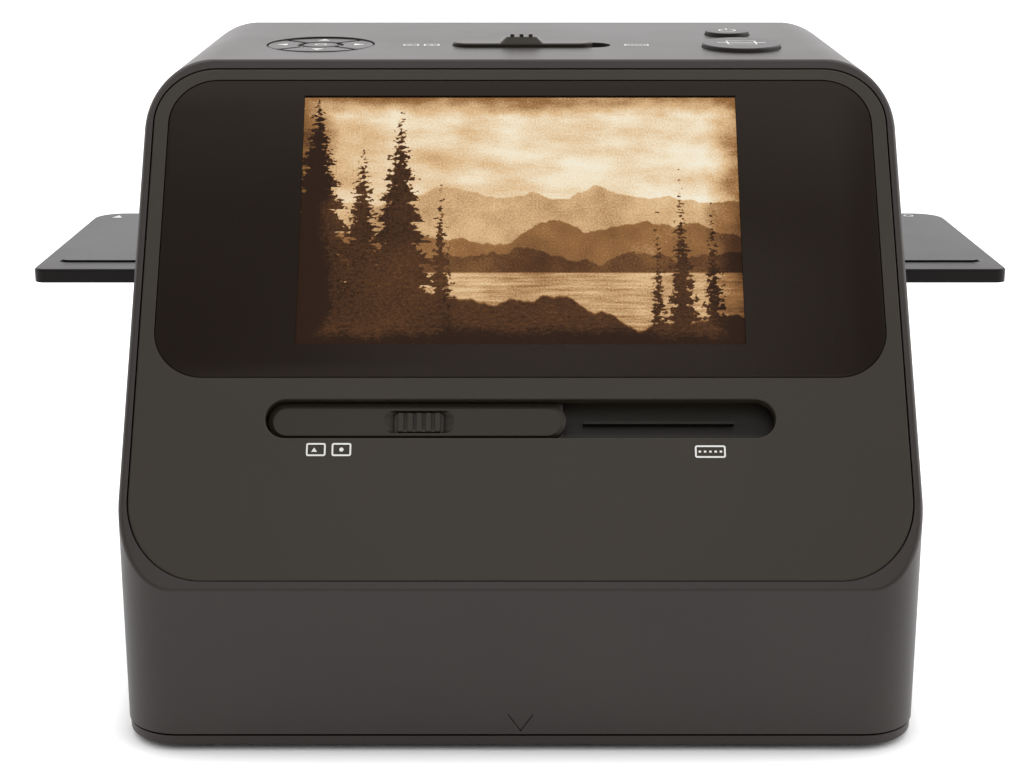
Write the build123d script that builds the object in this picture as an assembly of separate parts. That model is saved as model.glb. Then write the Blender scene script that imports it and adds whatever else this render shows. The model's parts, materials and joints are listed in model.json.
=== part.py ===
from build123d import *
from math import cos, radians, sin, tan
import os

# Film and print scanner, millimetres.
# X to the right, Y away from the viewer, Z up; the origin is on the table, under the middle of the body.

# ---- driving dimensions: body ----
body_width = 187.4
body_depth = 150.0
wall = 2.5
foot_height = 1.3
base_plate_height = 2.5
seam_gap = 0.6
lower_front_height = 39.1  # from the underside of the base plate to the foot of the sloping face
face_lean = 34.6  # degrees that the display face leans back from upright
face_length = 136.8
top_rise = 3.2  # degrees that the top climbs towards the rear
top_corner_radius = 16.3  # at the front edge of the top
top_corner_growth = 0.051  # and rounder by this much for each millimetre towards the rear
plan_corner_radius = 13.5
edge_round = 1.3
rear_edge_round = 2.5

# ---- driving dimensions: display face, measured up the slope from its foot ----
bezel_side_inset = 2.35
bezel_foot_inset = 2.0
bezel_top_inset = 2.7
bezel_foot_corner = (18.0, 20.0)  # rounded corners, across and up the face
bezel_head_corner = (15.1, 14.9)
bezel_thickness = 3.0
bezel_groove = 0.25
bezel_foot_groove = 0.08
bezel_edge_round = 0.45
face_ledge = 2.0  # wall left under the bezel
window_size = (175.3, 79.3)
window_corner = 12.0
window_middle = 91.25
window_thickness = 1.1
picture_size = (108.0, 66.6)  # a 5 inch panel
picture_middle = 93.3
lcd_border = (2.0, 2.7)
lcd_thickness = 3.2
gasket_thickness = 0.4
slot_size = (120.4, 9.6)
slot_middle = 41.3

# ---- driving dimensions: light slider ----
slider_length = 70.5
slider_width = 8.8
slider_rest_x = -24.45
slider_travel = 48.9
slider_depth, slider_edge_depth = 1.4, 2.0  # face and rim of the slider below the bezel
slider_face = (67.9, 6.6)
slider_face_shift = -0.5  # its bevel is wider above than below
grip_x = -24.0
grip_size = (10.2, 4.8)
grip_shift = -0.4
grip_ridges = 5
ridge_width = 1.5
hollow_depth = 1.2  # finger hollow round the grip, below the face of the slider
light_park_x = -49.0  # the lamp stands aside for prints and moves to X 0 for film

# ---- driving dimensions: controls on the top, t is the distance back from its front edge ----
nav_x, nav_t, nav_radius, nav_inner, nav_centre_radius = -52.8, 26.5, 13.95, 6.1, 4.6
nav_sink, nav_tilt = 0.1, -1.4  # the arrow keys stand in a dish that leans towards the rear
nav_dish_radius, nav_dish_depth = 14.35, 0.55
nav_web = 0.9  # housing web between two arrow keys
power_x, power_t, power_radius = 57.1, 45.1, 6.0
scan_x, scan_t, scan_radius = 58.4, 21.7, 10.25
button_proud = 1.1
button_travel = 0.6
button_gap = 0.25
mode_x, mode_t, mode_length, mode_width = 3.1, 25.0, 42.0, 9.0
mode_travel = 4.5
knob_grip_x = 0.5
knob_cover_proud = 1.0
knob_grip_foot, knob_grip_head = (11.7, 7.6), (7.9, 5.2)
knob_grip_heights = (0.9, 2.5, 3.2)  # foot, shoulder and ridges above the top
knob_ridge_width, knob_ridge_pitch = 1.0, 2.42
key_board_depth = 7.0  # below the top surface

# ---- driving dimensions: film holder and light path ----
holder_size = (242.0, 80.0, 3.4)
holder_top = 103.7
holder_front = -20.0
holder_front_corner, holder_rear_corner = 3.0, 8.0
holder_edge_round = 0.6
holder_floor = 1.0
holder_play = 0.3
lid_side_inset = 5.0
lid_front_inset = 9.5
lid_rear_inset = 4.0
lid_top = 104.1
lid_thickness = 1.4
lid_corner = 2.0
axis_y = 18.0  # optical axis
slide_bay = 50.6
slide_pitch = 58.0
slide_window = 38.0
print_size = (152.4, 102.4)

# ---- worked out from these ----
face_foot_z = foot_height + lower_front_height
lean_sin, lean_cos = sin(radians(face_lean)), cos(radians(face_lean))
half_width = body_width / 2
front_y = -body_depth / 2
rear_y = body_depth / 2
top_front_y = front_y + face_length * lean_sin
top_front_z = face_foot_z + face_length * lean_cos
top_rear_z = top_front_z + (rear_y - top_front_y) * tan(radians(top_rise))
top_length = (rear_y - top_front_y) / cos(radians(top_rise))
housing_foot_z = foot_height + base_plate_height + seam_gap
holder_bottom = holder_top - holder_size[2]
holder_rear = holder_front + holder_size[1]
inner_x = half_width - wall
inner_rear_y = rear_y - wall
bezel_back = bezel_thickness
ledge_back = bezel_thickness + face_ledge
lcd_size = (picture_size[0] + 2 * lcd_border[0], picture_size[1] + 2 * lcd_border[1])
lcd_front = window_thickness + gasket_thickness
lcd_back = lcd_front + lcd_thickness

window_recess = 0.1
mode_seat = 1.5
stem_length = 3.0
track_size = (135.0, 22.4)
track_floor = 7.2
track_back = 8.6
flange_front, flange_back = 3.3, 4.5  # flange of the slider, below the face

# inside: chassis, rails, light box
chassis_low, chassis_high = 77.5, 80.0
chassis_front, chassis_rear = -36.0, 61.0
rod_z, rod_radius = 85.5, 2.0
rod_places = (-14.0, 50.0)
bush_radius = 3.5
block_half = 14.0  # half the width of the carriage on its rods
box_half = 22.5
box_front, box_rear = axis_y - 21.0, axis_y + 21.0
box_low, box_high = 90.0, 98.3
arm_half = 4.0
rail_low, rail_high = 97.3, 106.0

# inside: camera
bracket_low, bracket_high = 141.5, 143.0
camera_posts = [(x, y) for x in (-32.0, 32.0) for y in (12.0, 27.0)]
lens_low = 128.0
key_board_posts = [(-70.0, 13.0), (70.0, 13.0), (-70.0, 50.0), (70.0, 50.0), (-26.0, 50.0), (26.0, 50.0)]
board_thickness = 1.2

# inside: rear cover and main board
cover_x, cover_low, cover_high, cover_ledge = 68.0, 17.0, 107.0, 6.0
cover_screws = [(x, z) for x in (-64.8, 64.8) for z in (20.2, 103.8)]
board_front, board_rear = 64.8, 66.2
board_screws = [(x, z) for x in (-55.0, 55.0) for z in (30.0, 93.0)]
sockets = {  # X, Z, width, height
    "usb_socket": (-36.0, 36.0, 8.0, 3.4),
    "hdmi_socket": (-12.0, 36.0, 15.0, 5.6),
    "card_socket": (22.0, 36.0, 27.0, 3.4),
}
cable_y = 66.85
cable_foot = 90.0
cable_ranges = {"display_cable": (35.0, 49.0), "camera_cable": (-6.0, 6.0), "key_cable": (-48.0, -36.0)}

# film holder hinge, and base
hinge_y, hinge_z, hinge_radius = 54.4, 103.2, 0.35
peg_radius = 2.5
peg_places = [(x, y) for x in (-84.5, 84.5) for y in (-60.0, 61.0)]
foot_places = [(x, y) for x in (-78.0, 78.0) for y in (-60.0, 60.0)]
base_high = 8.4
tray_x, tray_front, tray_rear, tray_low = 80.0, -34.0, 70.2, 5.4
print_floor = 7.0

face = Plane(origin=(0, front_y, face_foot_z), x_dir=(1, 0, 0), z_dir=(0, -lean_cos, lean_sin))
top = Plane(
    origin=(0, top_front_y, top_front_z),
    x_dir=(1, 0, 0),
    z_dir=(0, -sin(radians(top_rise)), cos(radians(top_rise))),
)
nav_plane = Plane(top.location * Pos(nav_x, nav_t, -nav_sink) * Rot(nav_tilt, 0, 0))


# ---- helpers ----
def block(x0, x1, y0, y1, z0, z1):
    """Box between two corners."""
    return Pos((x0 + x1) / 2, (y0 + y1) / 2, (z0 + z1) / 2) * Box(x1 - x0, y1 - y0, z1 - z0)


def upright(x, y, z0, z1, radius):
    """Upright cylinder."""
    return Pos(x, y, (z0 + z1) / 2) * Cylinder(radius, z1 - z0)


def along_x(x0, x1, y, z, radius):
    """Cylinder along X."""
    return Pos((x0 + x1) / 2, y, z) * Rot(0, 90, 0) * Cylinder(radius, x1 - x0)


def along_y(x, y0, y1, z, radius):
    """Cylinder along Y."""
    return Pos(x, (y0 + y1) / 2, z) * Rot(90, 0, 0) * Cylinder(radius, y1 - y0)


def slab(plane, outline, low, high):
    """Outline drawn on a plane, made solid from height low to height high over it."""
    return extrude(plane.offset(low) * outline, amount=high - low, dir=plane.z_dir)


def pill(length, width):
    return RectangleRounded(length, width, width / 2 - 0.001)


def group(pieces):
    """Loose solids that share one node."""
    return Compound(children=[piece.solid() for piece in pieces])


def strip(points, bend, thickness, x0, x1):
    """Strip bent along points (Y, Z), wide from x0 to x1."""
    path = FilletPolyline(*points, radius=bend)
    outline = make_face(offset(path, amount=thickness / 2, side=Side.BOTH))
    return extrude(Plane.YZ.offset(x0) * outline, amount=x1 - x0)


def at_slope(up, depth):
    """Y and Z of a point on the middle line, up the slope and below its surface."""
    return (
        front_y + up * lean_sin + depth * lean_cos,
        face_foot_z + up * lean_cos - depth * lean_sin,
    )


def mirror_x(piece):
    return mirror(piece, about=Plane.YZ)


def side_profile(inset, depth_of_face, foot_z):
    """Side view of the body, made solid across the whole width."""
    back = rear_y - inset
    shift = depth_of_face / lean_cos  # the sloping face moves in along Y
    drop = inset / cos(radians(top_rise))
    front = front_y + inset

    def face_y(z):
        return front_y + (z - face_foot_z) * lean_sin / lean_cos + shift

    foot_of_slope = face_foot_z + (inset - shift) * lean_cos / lean_sin
    slope = tan(radians(top_rise))
    # the sloping face meets the lowered top where both lines give the same height
    top_z = (top_front_z - drop + slope * (face_y(0) - top_front_y)) / (1 - slope * lean_sin / lean_cos)
    points = [
        (front, foot_z),
        (front, foot_of_slope),
        (face_y(top_z), top_z),
        (back, top_rear_z - drop - inset * slope),
        (back, foot_z),
    ]
    outline = make_face(Polyline(points, close=True))
    if inset == 0:
        top_rear = outline.vertices().sort_by(lambda v: v.X + v.Y)[-1]
        outline = fillet(top_rear, rear_edge_round)
    return extrude(Plane.YZ.offset(-half_width - 5) * outline, amount=body_width + 10)


def column(inset, drop):
    """Rounded plan and rounded upper corners of the body, as one tall block."""
    plan = RectangleRounded(body_width - 2 * inset, body_depth - 2 * inset, plan_corner_radius - inset)
    plan = extrude(plan, amount=200)
    across = Plane(origin=top.origin, x_dir=(1, 0, 0), z_dir=(0, -cos(radians(top_rise)), -sin(radians(top_rise))))
    height = 260
    reach = 150
    arches = []
    for side in (-1, 1):
        radius = top_corner_radius + side * reach * top_corner_growth - inset
        outline = Pos(0, -height / 2 - drop) * RectangleRounded(body_width - 2 * inset, height, radius)
        arches.append(across.offset(-side * reach) * outline)
    return plan & loft(arches)


def envelope(inset, depth_of_face, foot_z):
    return side_profile(inset, depth_of_face, foot_z) & column(inset, inset)


def face_outline(grow, foot_grow):
    """Outline of the front panel, drawn in the plane of the sloping face."""
    x = half_width - bezel_side_inset + grow
    low, high = bezel_foot_inset - foot_grow, face_length - bezel_top_inset + grow
    a_low, b_low = bezel_foot_corner[0] + grow, bezel_foot_corner[1] + foot_grow
    a_high, b_high = bezel_head_corner[0] + grow, bezel_head_corner[1] + grow
    lines = [
        Line((-x + a_low, low), (x - a_low, low)),
        EllipticalCenterArc((x - a_low, low + b_low), a_low, b_low, start_angle=270),
        Line((x, low + b_low), (x, high - b_high)),
        EllipticalCenterArc((x - a_high, high - b_high), a_high, b_high, start_angle=0),
        Line((x - a_high, high), (-x + a_high, high)),
        EllipticalCenterArc((-x + a_high, high - b_high), a_high, b_high, start_angle=90),
        Line((-x, high - b_high), (-x, low + b_low)),
        EllipticalCenterArc((-x + a_low, low + b_low), a_low, b_low, start_angle=180),
    ]
    return make_face(lines)


def petal(angle, margin):
    """Outline of one arrow key, grown by a margin."""
    apex = (nav_web / 2 + button_gap - margin) * 2**0.5
    reach = 2 * nav_radius
    wedge = make_face(Polyline([(apex, 0), (reach, reach - apex), (reach, apex - reach)], close=True))
    ring = Circle(nav_radius + margin) - Circle(nav_inner - margin)
    outline = Rot(0, 0, angle) * (ring & wedge)
    return fillet(outline.vertices(), 0.8)


# ---- housing ----
def make_main_housing():
    outer = envelope(0, 0, housing_foot_z)
    slope_face = outer.faces().sort_by(lambda f: (f.center() - face.origin).dot(face.z_dir) ** 2)[0]
    shell = fillet(slope_face.edges(), edge_round) - envelope(wall, ledge_back, 0)
    # seat and windows for the front panel
    shell -= slab(face, face_outline(bezel_groove, bezel_foot_groove), -bezel_thickness, 5)
    lcd_hole = Pos(0, picture_middle) * RectangleRounded(lcd_size[0] + 12, lcd_size[1] + 3, 3)
    track_hole = Pos(0, slot_middle) * RectangleRounded(track_size[0] + 1, track_size[1] + 0.6, 3)
    shell -= slab(face, lcd_hole + track_hole, -ledge_back - 2, 1)
    # slots that the film holder passes through
    slot = RectangleRounded(holder_size[1] + 2, lid_top - holder_bottom + 1, 1.5)
    middle_y = (holder_front + holder_rear) / 2
    middle_z = (lid_top + holder_bottom) / 2
    shell -= extrude(Plane.YZ.offset(-half_width - 5) * Pos(middle_y, middle_z) * slot, amount=body_width + 10)
    # seat and opening for the rear cover
    shell -= block(-cover_x, cover_x, inner_rear_y + 1, rear_y + 5, cover_low, cover_high)
    edge = cover_ledge
    shell -= block(-cover_x + edge, cover_x - edge, inner_rear_y - 5, rear_y + 5, cover_low + edge, cover_high - edge)
    # what stands on the inside of the walls
    for x, y in peg_places:
        side = 1 if x > 0 else -1
        boss = upright(x, y, housing_foot_z + 4.3, 18, peg_radius + 2)
        rib = block(min(x, side * inner_x), max(x, side * inner_x), y - 1.5, y + 1.5, housing_foot_z + 4.3, 18)
        shell += boss + rib
    for x, y in peg_places:
        shell -= upright(x, y, 0, 16, peg_radius + 0.08)
    for side in (-1, 1):
        x0, x1 = sorted((side * inner_x, side * (inner_x - 4)))
        shell += block(x0, x1, -30, 56, chassis_low - 4, chassis_low)
    inside = envelope(wall / 2, ledge_back, 0)
    for x, y in camera_posts:
        post = upright(x, y, bracket_high, 160, 3) - upright(x, y, 100, bracket_high + 7, 1.0)
        shell += post & inside
    for x, t in key_board_posts:
        post = Pos(x, t, -(wall + key_board_depth) / 2) * Cylinder(2.5, key_board_depth - wall)
        hole = Pos(x, t, -key_board_depth + 2) * Cylinder(1.0, 4)
        shell += top * post
        shell -= top * hole
    for x, z in cover_screws:
        shell += along_y(x, inner_rear_y - 6, inner_rear_y + 0.5, z, 2.75)
        shell -= along_y(x, inner_rear_y - 5, inner_rear_y + 5, z, 1.0)
    # holes for the keys, and the shallow seat with its slot for the mode knob
    holes = [Pos(nav_x, nav_t) * petal(angle, button_gap) for angle in (0, 90, 180, 270)]
    holes.append(Pos(nav_x, nav_t) * Circle(nav_centre_radius + button_gap))
    holes.append(Pos(power_x, power_t) * Circle(power_radius + button_gap))
    holes.append(Pos(scan_x, scan_t) * Circle(scan_radius + button_gap))
    holes.append(Pos(knob_grip_x + mode_travel / 2, mode_t) * pill(stem_length + mode_travel + 1.2, 3.4))
    for hole in holes:
        shell -= slab(top, hole, -wall - 0.5, 3)
    shell -= slab(top, Pos(mode_x, mode_t) * pill(mode_length, mode_width), -mode_seat, 3)
    shell -= slab(nav_plane, Circle(nav_dish_radius), -nav_dish_depth, 3)
    # arrow engraved above the seam, where the body is set down on its base
    for side in (-1, 1):
        stroke = Polyline([(0, 0), (side * 3.1, 4.4), (side * 3.1 - side * 0.5, 4.4), (0, 0.65)], close=True)
        front = Plane(origin=(0, front_y, housing_foot_z + 0.6), x_dir=(1, 0, 0), z_dir=(0, -1, 0))
        shell -= slab(front, make_face(stroke), -0.4, 1)
    return shell


def make_rear_cover():
    gap = 0.15
    cover = block(-cover_x + gap, cover_x - gap, inner_rear_y + 1, rear_y, cover_low + gap, cover_high - gap)
    cover = fillet(cover.edges().filter_by(Axis.Y), 1.0)
    for x, z in board_screws:
        cover += along_y(x, board_rear, rear_y - 1, z, 2.5)
        cover -= along_y(x, board_rear - 1, board_rear + 5, z, 1.0)
    for x, z in cover_screws:
        cover -= along_y(x, 60, 80, z, 1.2)
        cover -= along_y(x, rear_y - 0.9, 80, z, 2.3)
    for x, z, width, height in sockets.values():
        cover -= block(x - width / 2 - 0.3, x + width / 2 + 0.3, 60, 80, z - height / 2 - 0.3, z + height / 2 + 0.3)
    for i in range(9):
        vent = Pos(-24 + 6 * i, 84) * RectangleRounded(2.2, 14, 1.0)
        cover -= extrude(Plane.XZ.offset(-80) * vent, amount=20)
    return cover


def make_front_bezel():
    bezel = slab(face, face_outline(0, 0), -bezel_thickness, 0)
    rim = bezel.faces().sort_by(lambda f: (f.center() - face.origin).dot(face.z_dir))[-1]
    bezel = fillet(rim.edges(), bezel_edge_round)
    seat = Pos(0, window_middle) * RectangleRounded(window_size[0] + 0.3, window_size[1] + 0.3, window_corner + 0.15)
    bezel -= slab(face, seat, -window_thickness - window_recess, 5)
    lcd_hole = Pos(0, picture_middle) * RectangleRounded(lcd_size[0] + 0.4, lcd_size[1] + 0.4, 0.5)
    bezel -= slab(face, lcd_hole, -bezel_thickness - 1, 1)
    slot = Pos(0, slot_middle) * pill(*slot_size)
    bezel -= slab(face, slot, -bezel_thickness - 1, 1)
    slot_edges = bezel.edges().filter_by(
        lambda e: abs((e.center() - face.origin).dot(face.z_dir)) < 0.01
        and abs((e.center() - face.origin).dot(face.y_dir) - slot_middle) < slot_size[1] / 2 + 0.1
        and abs(e.center().X) < slot_size[0] / 2 + 0.1
    )
    return fillet(slot_edges, 0.35)


def make_display_window():
    outline = Pos(0, window_middle) * RectangleRounded(*window_size, window_corner)
    return slab(face, outline, -window_recess - window_thickness, -window_recess)


def make_display_gasket():
    outer = Rectangle(lcd_size[0] - 0.4, lcd_size[1] - 0.4)
    inner = Rectangle(picture_size[0] + 0.6, picture_size[1] + 0.6)
    return slab(face, Pos(0, picture_middle) * (outer - inner), -lcd_front, -window_recess - window_thickness)


def make_display_panel():
    outline = Pos(0, picture_middle) * RectangleRounded(*lcd_size, 0.4)
    return slab(face, outline, -lcd_back, -lcd_front)


def make_display_frame():
    outer = Pos(0, picture_middle) * RectangleRounded(lcd_size[0] + 18, lcd_size[1] + 6.4, 3)
    pad = Pos(0, picture_middle) * Rectangle(lcd_size[0] - 1, lcd_size[1] - 1)
    inner = Pos(0, picture_middle) * RectangleRounded(lcd_size[0] - 8, lcd_size[1] - 10, 2)
    frame = slab(face, outer, -ledge_back - 1, -ledge_back) + slab(face, pad, -ledge_back - 1, -lcd_back)
    return frame - slab(face, inner, -ledge_back - 3, 0)


def make_slider_track():
    outer = Pos(0, slot_middle) * RectangleRounded(*track_size, 3)
    inner = Pos(0, slot_middle) * RectangleRounded(track_size[0] - 3, track_size[1] - 3, 1.5)
    track = slab(face, outer, -track_back, -bezel_back) - slab(face, inner, -track_floor, 0)
    # guide step and thin rib that show in the open end of the slot
    step = Pos(0, slot_middle - 5.2) * Rectangle(track_size[0] - 3, 5.2)
    rib = Pos(33, slot_middle + 0.6) * Rectangle(36, 0.6)
    track += slab(face, step, -track_floor, -flange_back - 0.4)
    track += slab(face, rib, -track_floor, -flange_back - 0.5)
    arm_x = light_park_x + slider_travel / 2
    arm_slot = Pos(arm_x, slot_middle + 3.2) * pill(slider_travel + 2 * arm_half + 4, 4.4)
    return track - slab(face, arm_slot, -track_back - 1, -flange_back)


def make_front_slider():
    middle = Pos(slider_rest_x, slot_middle)
    body = middle * pill(slider_length, slider_width)
    front = middle * Pos(0, slider_face_shift) * pill(*slider_face)
    plate = slab(face, body, -flange_front, -slider_edge_depth)
    plate += loft([face.offset(-slider_edge_depth) * body, face.offset(-slider_depth) * front])
    flange = middle * RectangleRounded(slider_length - 1.4, slider_width + 4.2, 2)
    plate += slab(face, flange, -flange_back, -flange_front)
    # finger hollow with the ridges of the grip standing in it, joined by a lip along their feet
    spot = Pos(grip_x, slot_middle + grip_shift)
    length, width = grip_size
    floor = face.offset(-slider_depth - hollow_depth) * spot * RectangleRounded(length + 1.4, width + 0.4, 1.2)
    mouth = face.offset(-slider_depth + 0.01) * spot * RectangleRounded(length + 6.4, width + 0.8, 2.2)
    plate -= loft([floor, mouth])
    low = -slider_depth - hollow_depth - 0.2
    pitch = (length - ridge_width) / (grip_ridges - 1)
    for i in range(grip_ridges):
        place = spot * Pos(-(length - ridge_width) / 2 + pitch * i, 0)
        ridge = slab(face, place * RectangleRounded(ridge_width, width, 0.4), low, -slider_depth - 0.1)
        head = ridge.faces().sort_by(lambda f: (f.center() - face.origin).dot(face.z_dir))[-1]
        plate += fillet(head.edges(), 0.25)
    lip = spot * Pos(0, 0.35 - width / 2) * RectangleRounded(length, 0.7, 0.3)
    return plate + slab(face, lip, low, -slider_depth - 0.3)


# ---- controls on the top ----
def make_key(cap, flange, stem_at, proud):
    """Key drawn on the top; without a height of its own it ends in the plane of the dish."""
    key = slab(top, cap, -wall - 0.8, proud or 1)
    if not proud:
        key -= slab(nav_plane, Circle(2 * nav_radius), 0, 5)
    rim = key.faces().sort_by(lambda f: (f.center() - top.origin).dot(top.z_dir))[-1]
    key = fillet(rim.edges(), 0.3)
    key += slab(top, flange, -wall - 0.8, -wall)
    return key + slab(top, Pos(*stem_at) * Circle(1.7), -key_board_depth + 1.6 + 0.7, -wall - 0.8)


def make_nav_key(angle):
    apex = (nav_web / 2 + button_gap) * 2**0.5
    reach = 2 * nav_radius
    wedge = make_face(Polyline([(apex, 0), (reach, reach - apex), (reach, apex - reach)], close=True))
    flange = Rot(0, 0, angle) * ((Circle(nav_radius + 1.4) - Circle(nav_inner)) & wedge)
    spot = (nav_x + 10 * cos(radians(angle)), nav_t + 10 * sin(radians(angle)))
    place = Pos(nav_x, nav_t)
    return make_key(place * petal(angle, 0), place * flange, spot, 0)


def make_round_key(x, t, radius, flange, proud):
    place = Pos(x, t)
    return make_key(place * Circle(radius), place * Circle(radius + flange), (x, t), proud)


def make_mode_knob():
    length = mode_length - mode_travel - 0.6
    middle = mode_x - mode_length / 2 + 0.3 + length / 2
    cover = slab(top, Pos(middle, mode_t) * pill(length, mode_width - 0.6), -mode_seat + 0.1, knob_cover_proud)
    upper = cover.faces().sort_by(lambda f: (f.center() - top.origin).dot(top.z_dir))[-1]
    cover = chamfer(upper.edges(), 0.3)
    spot = Pos(knob_grip_x, mode_t)
    foot, shoulder, head = knob_grip_heights
    lower = top.offset(foot) * Pos(knob_grip_x, mode_t - 0.3) * RectangleRounded(*knob_grip_foot, 0.8)
    grip = loft([lower, top.offset(shoulder) * spot * RectangleRounded(*knob_grip_head, 0.6)])
    grip += slab(top, Pos(knob_grip_x, mode_t - 0.3) * RectangleRounded(*knob_grip_foot, 0.8), 0.4, foot)
    for i in (-1, 0, 1):
        ridge = Pos(knob_ridge_pitch * i, 0) * spot * RectangleRounded(knob_ridge_width, knob_grip_head[1] - 0.2, 0.3)
        grip += slab(top, ridge, shoulder - 0.2, head)
    stem = slab(top, spot * Rectangle(stem_length, 2.6), -key_board_depth + 3.4, 0)
    return cover + grip + stem


def make_key_board():
    board = slab(top, Pos(0, 31.5) * Rectangle(148, 45), -key_board_depth - board_thickness, -key_board_depth)
    for x, y in camera_posts:
        board -= upright(x, y, 120, 160, 3.7)
    for x, t in key_board_posts:
        board -= slab(top, Pos(x, t) * Circle(1.2), -12, 0)
    x0, x1 = cable_ranges["key_cable"]
    plug = Pos((x0 + x1) / 2, 48) * Rectangle(x1 - x0 + 3, 4)
    return board + slab(top, plug, -key_board_depth - 3.2, -key_board_depth - board_thickness)


def key_spots():
    spots = [(nav_x + 10 * cos(radians(a)), nav_t + 10 * sin(radians(a))) for a in (0, 90, 180, 270)]
    return spots + [(nav_x, nav_t), (power_x, power_t), (scan_x, scan_t)]


def make_key_switches():
    pieces = []
    for x, t in key_spots():
        body = slab(top, Pos(x, t) * Rectangle(5, 5), -key_board_depth, -key_board_depth + 1.2)
        pieces.append(body + slab(top, Pos(x, t) * Circle(1.6), -key_board_depth, -key_board_depth + 1.6))
    return group(pieces)


def make_mode_switch():
    body = slab(top, Pos(knob_grip_x + mode_travel / 2, mode_t) * Rectangle(16, 6.5), -key_board_depth, -4.2)
    slot = slab(top, Pos(knob_grip_x + mode_travel / 2, mode_t) * Rectangle(11, 3.2), -5.4, -3)
    return body - slot


def make_key_board_screws():
    pieces = []
    for x, t in key_board_posts:
        place = top * Pos(x, t, -key_board_depth - board_thickness)
        pieces.append(place * (Pos(0, 0, -0.6) * Cylinder(2.0, 1.2) + Pos(0, 0, 1.8) * Cylinder(0.95, 3.8)))
    return group(pieces)


# ---- camera ----
def make_camera_bracket():
    bracket = block(-36, 36, 7, 32, bracket_low, bracket_high)
    bracket = fillet(bracket.edges().filter_by(Axis.Z), 3)
    bracket -= block(-6.5, 6.5, axis_y - 6.5, axis_y + 6.5, 130, 150)
    for x, y in camera_posts:
        bracket -= upright(x, y, 130, 150, 1.2)
    for side in (-1, 1):
        bracket += block(side * 24 - 1, side * 24 + 1, 7, 32, bracket_low - 3, bracket_low)
    return bracket


def make_camera_board():
    board = block(-13, 13, 7.5, 32, bracket_high, bracket_high + board_thickness)
    return board + block(-7.5, 7.5, 27, 31, bracket_high + board_thickness, bracket_high + board_thickness + 1.0)


def make_camera_sensor():
    return block(-4.5, 4.5, axis_y - 4.5, axis_y + 4.5, bracket_low + 0.1, bracket_high)


def make_lens_holder():
    holder = block(-10, 10, axis_y - 10, axis_y + 10, bracket_low - 8, bracket_low)
    holder = fillet(holder.edges().filter_by(Axis.Z), 2)
    return holder - upright(0, axis_y, 120, 150, 6.05)


def make_lens_barrel():
    barrel = upright(0, axis_y, lens_low, bracket_low - 0.5, 6.0)
    barrel += upright(0, axis_y, lens_low, lens_low + 3, 7.0)
    barrel -= upright(0, axis_y, lens_low + 1, 150, 4.5)
    return barrel - Pos(0, axis_y, lens_low + 0.5) * Cone(5.5, 4.0, 1.0)


def make_lens_glass():
    disc = upright(0, axis_y, lens_low + 1, lens_low + 4, 4.45)
    return disc & (Pos(0, axis_y, lens_low + 1 + 9) * Sphere(9))


def make_light_hood():
    def frame(half, z):
        return Plane.XY.offset(z) * Pos(0, axis_y) * Rectangle(2 * half, 2 * half)

    foot = rail_high + 0.6
    hood = loft([frame(26, foot), frame(14, lens_low - 1)]) + extrude(frame(14, lens_low - 1), bracket_low - lens_low + 1)
    hollow = loft([frame(24.8, foot - 0.001), frame(12.8, lens_low - 1)])
    return hood - hollow - extrude(frame(12.8, lens_low - 1), 30)


def make_camera_screws():
    pieces = []
    for x, y in camera_posts:
        head = upright(x, y, bracket_low - 1.2, bracket_low, 2.0)
        pieces.append(head + upright(x, y, bracket_low, bracket_high + 5, 0.95))
    return group(pieces)


# ---- main board and its sockets ----
def make_main_board():
    board = block(-60, 60, board_front, board_rear, 25, 97)
    for x, z in board_screws:
        board -= along_y(x, 60, 70, z, 1.2)
    for x0, x1 in cable_ranges.values():
        board += block(x0 - 1.5, x1 + 1.5, board_rear, board_rear + 2, cable_foot - 5, cable_foot)
    for x, z, width, depth in ((-30, 62, 15, 1.5), (0, 60, 11, 1.2), (24, 66, 9, 1.0), (-4, 74, 7, 1.0)):
        board += block(x - width / 2, x + width / 2, board_rear, board_rear + depth, z - width / 2, z + width / 2)
    return board


def make_socket(name):
    x, z, width, height = sockets[name]
    body = block(x - width / 2, x + width / 2, board_rear, rear_y - 0.3, z - height / 2, z + height / 2)
    bore = block(x - width / 2 + 0.5, x + width / 2 - 0.5, rear_y - 7, rear_y, z - height / 2 + 0.5, z + height / 2 - 0.5)
    body -= bore
    if name != "card_socket":
        body += block(x - width / 2 + 1.6, x + width / 2 - 1.6, rear_y - 7, rear_y - 1.5, z - 0.4, z + 0.4)
    return body


def make_board_screws():
    pieces = []
    for x, z in board_screws:
        pieces.append(along_y(x, board_front - 1.1, board_front, z, 2.0) + along_y(x, board_front, board_rear + 4, z, 0.95))
    return group(pieces)


def make_cover_screws():
    pieces = []
    for x, z in cover_screws:
        screw = along_y(x, rear_y - 0.9, rear_y - 0.1, z, 2.1) + along_y(x, rear_y - 7, rear_y - 0.9, z, 0.95)
        for width, height in ((2.4, 0.5), (0.5, 2.4)):
            screw -= block(x - width / 2, x + width / 2, rear_y - 0.5, rear_y, z - height / 2, z + height / 2)
        pieces.append(screw)
    return group(pieces)


def make_display_cable():
    depth = lcd_back + 0.15
    points = [at_slope(112, depth), at_slope(122.5, depth), (cable_y, at_slope(122.5, depth)[1]), (cable_y, cable_foot + 0.15)]
    return strip(points, 3, 0.3, *cable_ranges["display_cable"])


def make_camera_cable():
    z = bracket_high + board_thickness + 0.5
    points = [(31.15, z), (cable_y, z), (cable_y, cable_foot + 0.15)]
    return strip(points, 3, 0.3, *cable_ranges["camera_cable"])


def make_key_cable():
    start = top * Pos(0, 50.15, -key_board_depth - 2.4)
    y, z = start.position.Y, start.position.Z
    points = [(y, z), (cable_y, z), (cable_y, cable_foot + 0.15)]
    return strip(points, 3, 0.3, *cable_ranges["key_cable"])


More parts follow.
